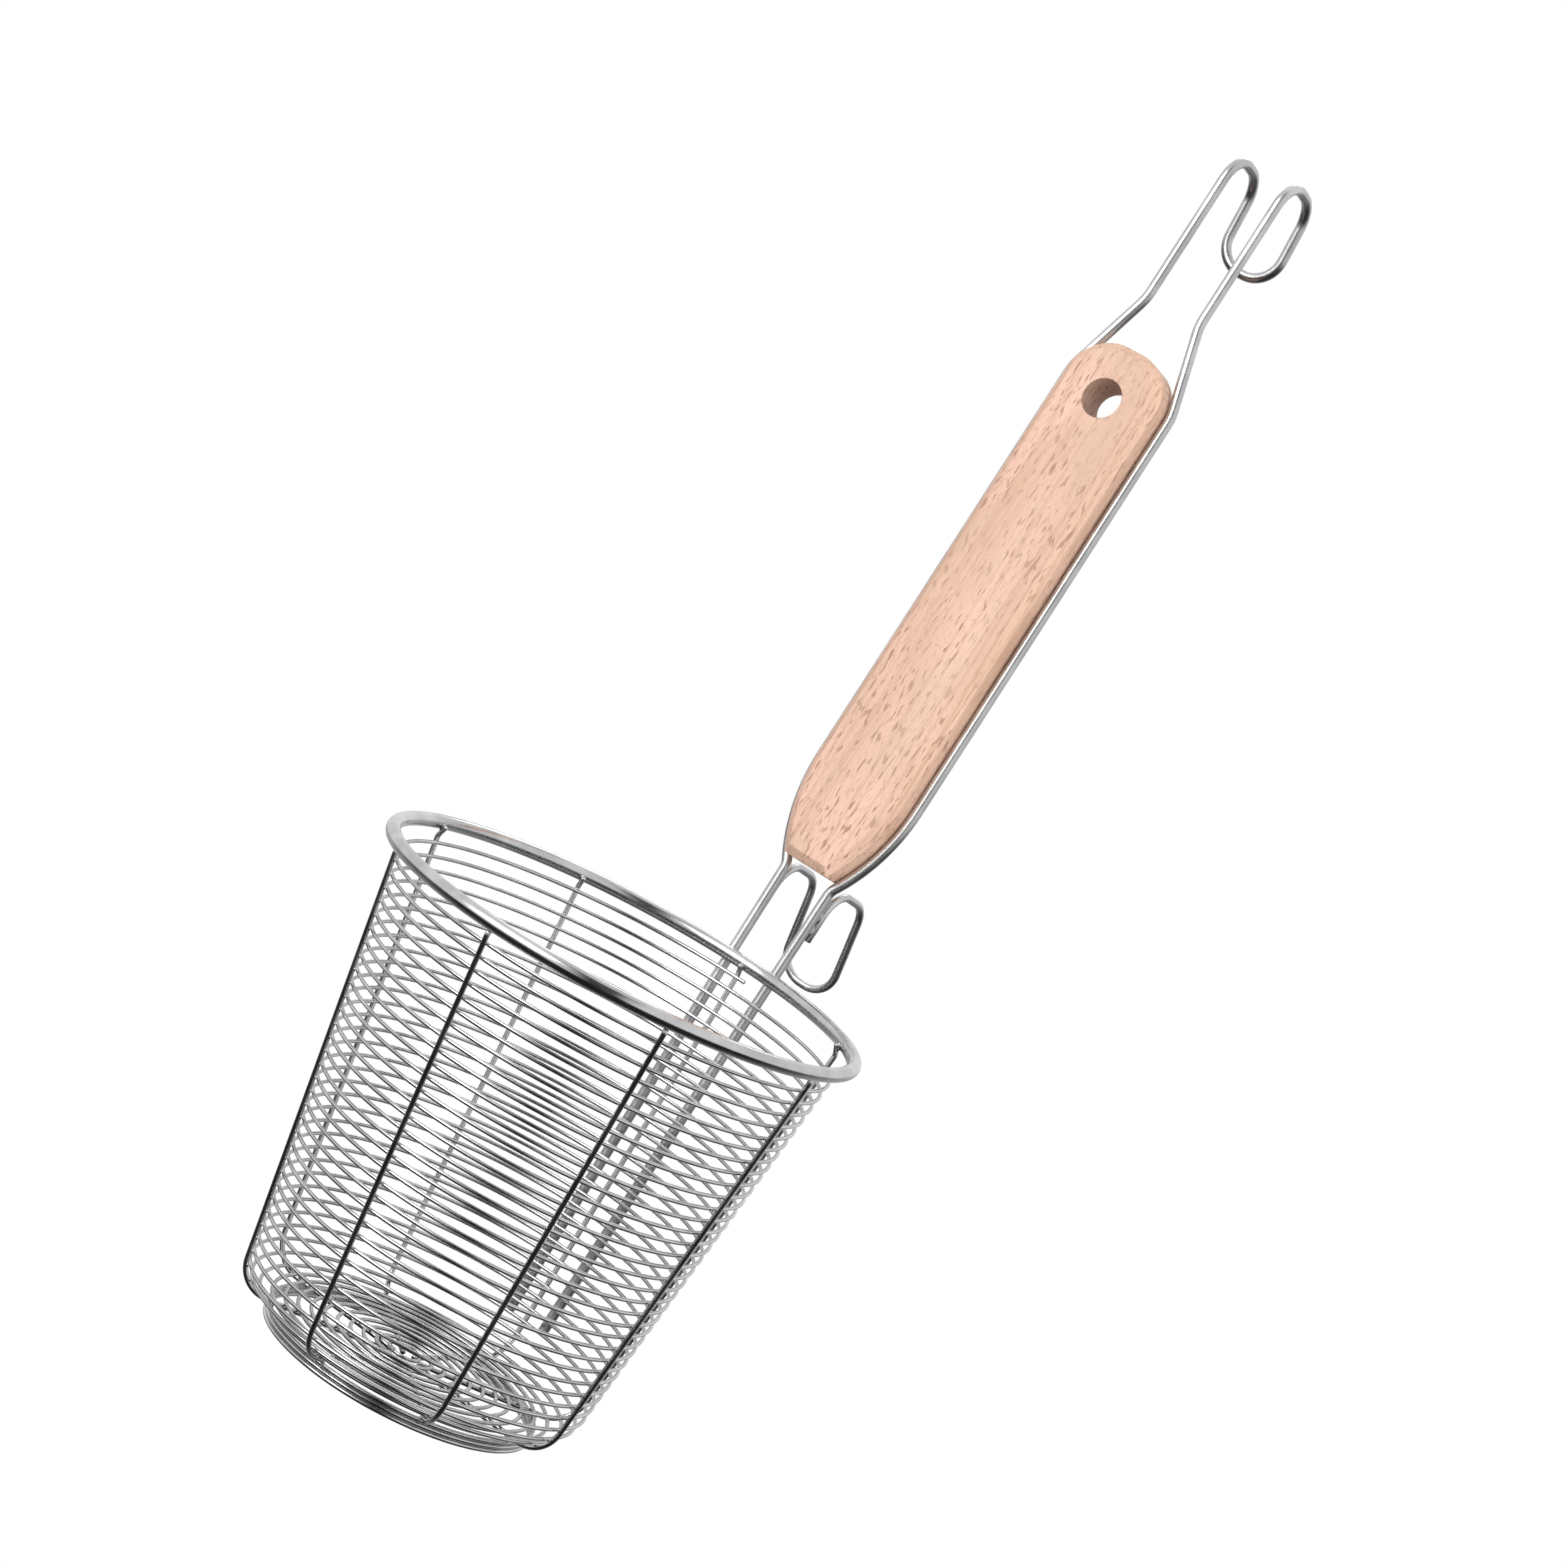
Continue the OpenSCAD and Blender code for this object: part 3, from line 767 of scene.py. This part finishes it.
@cached
def weld_material(name):
    """Spot welds: the same steel, duller and a little darker."""
    def links(tree):
        s = bpy.context.scene.strainer
        grain = noise(coordinates(tree, "Object"), WELD_GRAIN)
        return {"Base Color": mix_colour(grain, s.weld_dark, s.weld_pale),
                "Roughness": 0.30 + 0.2 * grain,
                "Normal": bump(grain, 0.3, 0.1 * MM)}
    return surface(name, links, metallic=1.0)


def growth_lines(bent, grain, hole):
    """Two growth lines that drift outwards down the wood's right edge, and painted shade past
    them.
    """
    across = node(bent.tree, "ShaderNodeSeparateXYZ", {}, {0: bent}, "X")
    along = node(grain.tree, "ShaderNodeSeparateXYZ", {}, {0: grain}, "Z")
    past = (across - GROWTH_FROM - GROWTH_DRIFT * (hole.z - along)) / GROWTH_WIDTH
    return ramped(past, (0.06, 0.0), (0.13, 1.0), (0.20, 0.0), (0.33, 0.0), (0.40, 0.9),
                  (0.48, 0.15), (0.70, 0.25))


def bored_wall(grain, hole, radius):
    """1 on the wall of the hanging hole and 0 elsewhere."""
    level = scaled(grain, (1, 0, 1))
    away = vector_maths(grain.tree, "DISTANCE", level, (hole.x, 0, hole.z), "Value")
    return away.math("LESS_THAN", radius)


@cached
def wood_material(name):
    """Bare beech: streaks, rosy clouds, growth lines and short dark pores along the grain.

    Painted shade darkens the chamfer and side past the growth lines, and the wall of the hanging
    hole.
    """
    def links(tree):
        s, _, handle = measure(bpy.context)
        grain = scaled(coordinates(tree, "Object"), (1, 1, 1), (s.handle_lean, 0, 0))
        hole = Matrix.Rotation(s.handle_lean, 3, "X") @ (
            handle.place @ Vector((0, -s.wood_forward, handle.hole)))
        streaks = noise(scaled(grain, STREAKS), detail=4.0, rough=0.6)
        bands = noise(scaled(grain, BANDS))
        clouds = noise(scaled(grain, CLOUDS), detail=2.0)
        shades = noise(scaled(grain, SHADES), detail=2.0)
        rings = noise(scaled(grain, RINGS), detail=1.0)
        waves = noise(grain, WAVES, detail=2.0, output="Color")
        bent = vector_maths(tree, "ADD", grain, vector_maths(tree, "SCALE", waves, WAVE_DEPTH))
        pored = ramped(clouds, (0.36, 0.35), (0.60, 1.0))

        def flecks(scale, low, high):
            cells = noise(scaled(bent, scale), detail=1.0, rough=0.4)
            return pored * ramped(cells, (low, 0.0), (high, 1.0))

        pores = flecks(PORES, 0.60, 0.67)
        lines = ramped(rings, (0.46, 0.0), (0.49, 1.0), (0.53, 0.0), (0.57, 0.0), (0.59, 0.8),
                       (0.64, 0.0))
        # Strength, mask and colour of each layer, from the deepest to the topmost
        layers = (
            (0.45, streaks, s.wood_streak),
            (0.20, ramped(shades, (0.42, 0.0), (0.62, 1.0)), s.wood_shade),
            (0.50, ramped(clouds, (0.46, 0.0), (0.68, 1.0)), s.wood_rosy),
            (0.45, lines, s.wood_line),
            # Growth lines, then painted shade on the chamfer and side past them
            (0.65, growth_lines(bent, grain, hole), s.wood_line),
            (0.40, flecks(FINE_PORES, 0.56, 0.66), s.wood_fine),
            (0.80, pores, s.wood_pore),
            # Painted shade on the wall of the hanging hole
            (0.38, bored_wall(grain, hole, s.hole_d / 2 + s.hole_lip / 2), s.wood_bored))
        colour = mix_colour(bands, s.wood_deep, s.wood_pale)
        for strength, mask, tone in layers:
            colour = mix_colour(strength * mask, colour, tone)
        return {"Base Color": colour,
                "Roughness": 0.52 + 0.12 * streaks + 0.1 * pores,
                "Normal": bump(0.4 * streaks - pores, 0.35, 0.12 * MM)}
    return surface(name, links)


@cached
def floor_material(name):
    """Plain white floor that the camera sees as clean white."""
    mat = bpy.data.materials.new(name)
    mat.use_nodes = True
    tree = mat.node_tree
    tree.nodes.clear()
    matte = node(tree, "ShaderNodeBsdfDiffuse", {}, {"Color": FLOOR_TONE})
    clean = node(tree, "ShaderNodeEmission", {}, {"Color": WHITE})
    seen = node(tree, "ShaderNodeLightPath", output="Is Camera Ray")
    both = node(tree, "ShaderNodeMixShader", {}, {0: seen, 1: matte, 2: clean})
    node(tree, "ShaderNodeOutputMaterial", {}, {"Surface": both})
    return mat


# Stage

def make_floor():
    """A wide white disc, which metal does not mirror."""
    bm = bmesh.new()
    bmesh.ops.create_circle(bm, cap_ends=True, radius=FLOOR_RADIUS, segments=64)
    obj = finished("floor", bm)
    obj.data.materials.append(floor_material())
    obj.visible_glossy = False


def mirrored_room(tree):
    """What metal mirrors, by direction: a room with two bright walls at the front and a dark
    gap between them, a bright wall behind, and a floor that is pale behind and dark in front."""
    direction = coordinates(tree, "Generated")
    ahead = (math.sin(FRONT), -math.cos(FRONT), 0)
    aside = (math.cos(FRONT), math.sin(FRONT), 0)
    facing = 0.5 + 0.5 * vector_maths(tree, "DOT_PRODUCT", direction, ahead, "Value")
    sideways = vector_maths(tree, "DOT_PRODUCT", direction, aside, "Value").math("ABSOLUTE")
    height = 0.5 + 0.5 * node(tree, "ShaderNodeSeparateXYZ", {}, {0: direction}, "Z")
    walls = ramped(sideways, (0.10, 0.0), (0.28, 1.0))
    behind = ramped(facing, (0.58, 1.0), (0.76, 0.0))
    upper = ROOM_DARK + ROOM_BRIGHT * walls.math("MAXIMUM", behind)
    lower = ramped(facing, (0.0, 0.55), (0.35, 0.12), (0.60, 0.02))
    raised = ramped(height, (0.40, 0.0), (0.49, 1.0))
    return lower + raised * (upper - lower)


def make_world(scene):
    """White where the camera looks, a room where metal mirrors it, soft pale light otherwise."""
    world = bpy.data.worlds.new("studio")
    scene.world = world
    world.use_nodes = True
    tree = world.node_tree
    tree.nodes.clear()
    room = node(tree, "ShaderNodeBackground", {}, {"Color": mirrored_room(tree)})
    soft = node(tree, "ShaderNodeBackground", {}, {"Color": SOFT_TONE})
    clean = node(tree, "ShaderNodeBackground", {}, {"Color": WHITE})
    mirroring = node(tree, "ShaderNodeLightPath", output="Is Glossy Ray")
    seen = node(tree, "ShaderNodeLightPath", output="Is Camera Ray")
    unseen = node(tree, "ShaderNodeMixShader", {}, {0: mirroring, 1: soft, 2: room})
    both = node(tree, "ShaderNodeMixShader", {}, {0: seen, 1: unseen, 2: clean})
    node(tree, "ShaderNodeOutputWorld", {}, {"Surface": both})


def make_lights():
    """Large soft boxes: before the strainer on its left, on its right, and above its back."""
    for name, place, width, height, watts, mirrored_in_metal in SOFT_BOXES:
        data = bpy.data.lights.new(name, "AREA")
        data.shape = "RECTANGLE"
        data.size = width
        data.size_y = height
        data.energy = watts
        obj = bpy.data.objects.new(name, data)
        obj.location = place
        aim = Vector(LIGHT_AIM) - Vector(place)
        obj.rotation_euler = aim.to_track_quat("-Z", "Y").to_euler()
        obj.visible_glossy = mirrored_in_metal
        bpy.context.collection.objects.link(obj)


def make_camera(scene):
    """The photograph's view: round to the right, a little from above, and rolled."""
    back = Vector((math.sin(FRONT) * math.cos(CAMERA_ELEVATION),
                   -math.cos(FRONT) * math.cos(CAMERA_ELEVATION), math.sin(CAMERA_ELEVATION)))
    level = Vector((math.cos(FRONT), math.sin(FRONT), 0))
    upright = back.cross(level)
    right = level * math.cos(CAMERA_ROLL) + upright * math.sin(CAMERA_ROLL)
    up = upright * math.cos(CAMERA_ROLL) - level * math.sin(CAMERA_ROLL)
    place = (Vector(CAMERA_AIM) + back * CAMERA_DISTANCE + right * CAMERA_ACROSS
             + up * CAMERA_ABOVE)
    data = bpy.data.cameras.new("camera")
    data.sensor_width = SENSOR
    data.lens = SENSOR * FOCAL_PX / PHOTO_PX
    data.clip_start = 0.05
    obj = bpy.data.objects.new("camera", data)
    obj.matrix_world = (Matrix.Translation(place)
                        @ Matrix((right, up, back)).transposed().to_4x4())
    bpy.context.collection.objects.link(obj)
    scene.camera = obj


# Operators

class STRAINER_OT_rings(bpy.types.Operator):
    """Builds the rim ring and the foot rings"""
    bl_idname = "strainer.rings"
    bl_label = "Rings"
    bl_options = {"REGISTER", "UNDO"}

    def execute(self, context):
        _, basket, _ = measure(context)
        wire_piece("rim_ring_round", "rim_ring", circle(basket.rim_r, basket.rim_h, RIM_STEPS),
                   basket.rim_wire / 2, RIM_SIDES, steel_material(), closed=True)
        for i in range(FOOT_RINGS):
            z = basket.foot_wire / 2 + i * basket.foot_step
            wire_piece("foot_ring_round_%d" % (i + 1), "foot_ring_%d" % (i + 1),
                       circle(basket.foot_r, z, FOOT_STEPS), basket.foot_wire / 2, FOOT_SIDES,
                       steel_material(), closed=True)
        return {"FINISHED"}


class STRAINER_OT_spiral(bpy.types.Operator):
    """Builds the spiral wire of the basket"""
    bl_idname = "strainer.spiral"
    bl_label = "Spiral wire"
    bl_options = {"REGISTER", "UNDO"}

    def execute(self, context):
        s, basket, _ = measure(context)
        wire_piece("spiral_wire_round", "spiral_wire", basket.coil_route(), s.coil_wire / 2,
                   COIL_SIDES, steel_material())
        return {"FINISHED"}


class STRAINER_OT_ribs(bpy.types.Operator):
    """Builds the ribs outside the spiral"""
    bl_idname = "strainer.ribs"
    bl_label = "Ribs"
    bl_options = {"REGISTER", "UNDO"}

    def execute(self, context):
        s, basket, _ = measure(context)
        for number in range(1, RIBS + 1):
            wire_piece("rib_round_%d" % number, "rib_%d" % number, basket.rib_route(number),
                       s.rib_wire / 2, RIB_SIDES, steel_material())
        return {"FINISHED"}


class STRAINER_OT_handle_wires(bpy.types.Operator):
    """Builds the handle wire with its hanging hook, and the rest hook"""
    bl_idname = "strainer.handle_wires"
    bl_label = "Handle wires"
    bl_options = {"REGISTER", "UNDO"}

    def execute(self, context):
        s, _, handle = measure(context)
        wire_piece("handle_wire_round", "handle_wire", handle.leg_route(), s.handle_wire / 2,
                   HANDLE_SIDES, satin_material())
        wire_piece("rest_hook_round", "rest_hook", handle.rest_route(), s.rest_wire / 2,
                   HANDLE_SIDES, satin_material())
        return {"FINISHED"}


class STRAINER_OT_wood(bpy.types.Operator):
    """Builds the wooden handle"""
    bl_idname = "strainer.wood"
    bl_label = "Wooden handle"
    bl_options = {"REGISTER", "UNDO"}

    def execute(self, context):
        _, _, handle = measure(context)
        obj = wood_mesh(handle)
        obj.data.materials.append(wood_material())
        obj.modifiers.new("even_shading", "WEIGHTED_NORMAL").keep_sharp = True
        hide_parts("wooden_handle")
        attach(obj, BODY)
        return {"FINISHED"}


class STRAINER_OT_welds(bpy.types.Operator):
    """Builds the spot welds that join the wires"""
    bl_idname = "strainer.welds"
    bl_label = "Welds"
    bl_options = {"REGISTER", "UNDO"}

    def execute(self, context):
        bm = bmesh.new()
        for point, along, (radius, stretch) in weld_places(*measure(context)):
            weld_bead(bm, point, along, radius, stretch)
        obj = finished("weld_beads", bm)
        obj.data.materials.append(weld_material())
        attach(obj, BODY)
        return {"FINISHED"}


class STRAINER_OT_stage(bpy.types.Operator):
    """Sets the floor, the light and the camera"""
    bl_idname = "strainer.stage"
    bl_label = "Stage"
    bl_options = {"REGISTER", "UNDO"}

    def execute(self, context):
        make_floor()
        make_world(context.scene)
        make_lights()
        make_camera(context.scene)
        context.scene.view_settings.view_transform = "Standard"
        return {"FINISHED"}


class STRAINER_PT_panel(bpy.types.Panel):
    """Buttons that build the strainer piece by piece"""
    bl_idname = "STRAINER_PT_panel"
    bl_label = "Frying strainer"
    bl_space_type = "VIEW_3D"
    bl_region_type = "UI"
    bl_category = "Strainer"

    def draw(self, context):
        layout = self.layout
        for operator in OPERATORS:
            layout.operator(operator.bl_idname)
        settings = context.scene.strainer
        for name in settings.__annotations__:
            layout.prop(settings, name)


OPERATORS = (STRAINER_OT_rings, STRAINER_OT_spiral, STRAINER_OT_ribs, STRAINER_OT_handle_wires,
             STRAINER_OT_wood, STRAINER_OT_welds, STRAINER_OT_stage)
CLASSES = (StrainerSettings, *OPERATORS, STRAINER_PT_panel)


def register():
    for cls in CLASSES:
        bpy.utils.register_class(cls)
    bpy.types.Scene.strainer = PointerProperty(type=StrainerSettings)


def unregister():
    del bpy.types.Scene.strainer
    for cls in reversed(CLASSES):
        bpy.utils.unregister_class(cls)


def main():
    register()
    bpy.ops.strainer.rings()
    bpy.ops.strainer.spiral()
    bpy.ops.strainer.ribs()
    bpy.ops.strainer.handle_wires()
    bpy.ops.strainer.wood()
    bpy.ops.strainer.welds()
    bpy.ops.strainer.stage()


if __name__ == "__main__":
    main()
